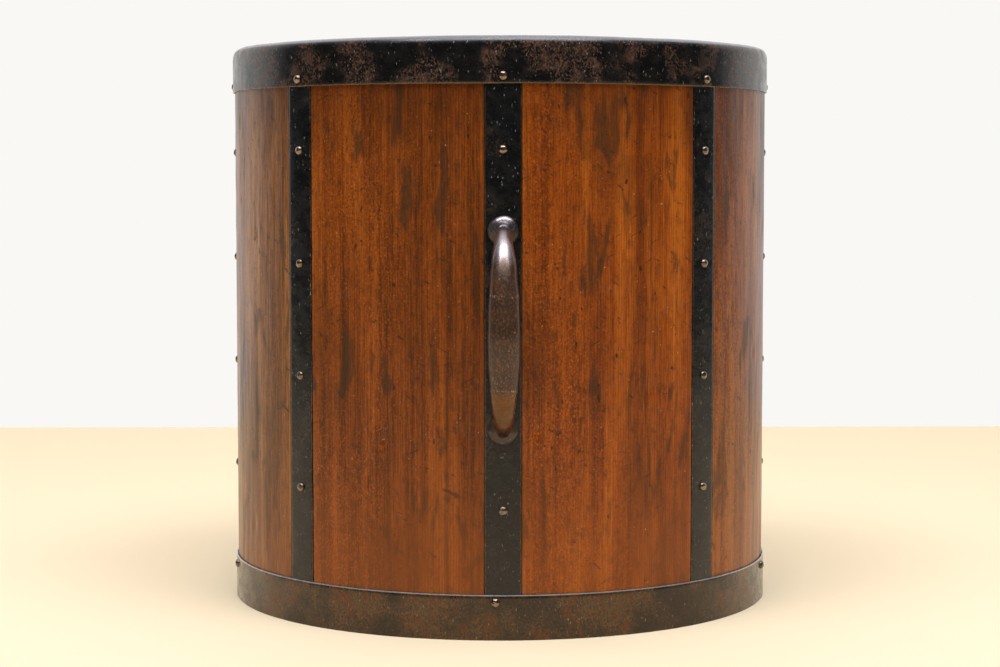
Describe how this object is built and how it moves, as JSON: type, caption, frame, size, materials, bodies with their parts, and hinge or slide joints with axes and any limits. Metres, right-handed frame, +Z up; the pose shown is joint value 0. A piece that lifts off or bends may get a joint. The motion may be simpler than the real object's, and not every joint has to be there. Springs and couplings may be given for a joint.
{
  "type": "iron-bound staved tub",
  "caption": "Round open dairy tub of wide upright staves, with a folded iron rim, an iron foot hoop, riveted straps over the joints and fixed upright bow handles.",
  "frame": {"origin": "centre of the foot, at ground level", "axes": "+Z up through the mouth; the front handle faces -Y and the back handle +Y"},
  "size_m": [0.3138, 0.3894, 0.316],
  "materials": {
    "stave_wood": "waxed, worn, reddish brown",
    "base_wood": "bare, darkened",
    "peg_wood": "split and shaved",
    "strap_iron": "blackened, waxed",
    "rim_iron": "blackened, rust-brown patches",
    "hoop_iron": "blackened, rust-brown patches",
    "handle_iron": "burnished by hands",
    "rivet_iron": "burnished heads"
  },
  "bodies": {
    "root": {"stave_1": "stave_wood", "stave_2": "stave_wood", "stave_3": "stave_wood", "stave_4": "stave_wood", "stave_5": "stave_wood", "stave_6": "stave_wood", "stave_7": "stave_wood", "stave_8": "stave_wood", "strap_front": "strap_iron", "strap_front_right": "strap_iron", "strap_right": "strap_iron", "strap_back_right": "strap_iron", "strap_back": "strap_iron", "strap_back_left": "strap_iron", "strap_left": "strap_iron", "strap_front_left": "strap_iron", "top_rim": "rim_iron", "bottom_hoop": "hoop_iron", "base_board_1": "base_wood", "base_board_2": "base_wood", "base_board_3": "base_wood", "base_board_4": "base_wood", "base_pegs": "peg_wood", "stave_pegs": "peg_wood", "front_handle": "handle_iron", "front_handle_roses": "handle_iron", "front_handle_roves": "rivet_iron", "back_handle": "handle_iron", "back_handle_roses": "handle_iron", "back_handle_roves": "rivet_iron", "strap_rivets": "rivet_iron", "rivet_roves": "rivet_iron", "rim_rivets": "rivet_iron", "hoop_nails": "rivet_iron"}
  },
  "joints": []
}
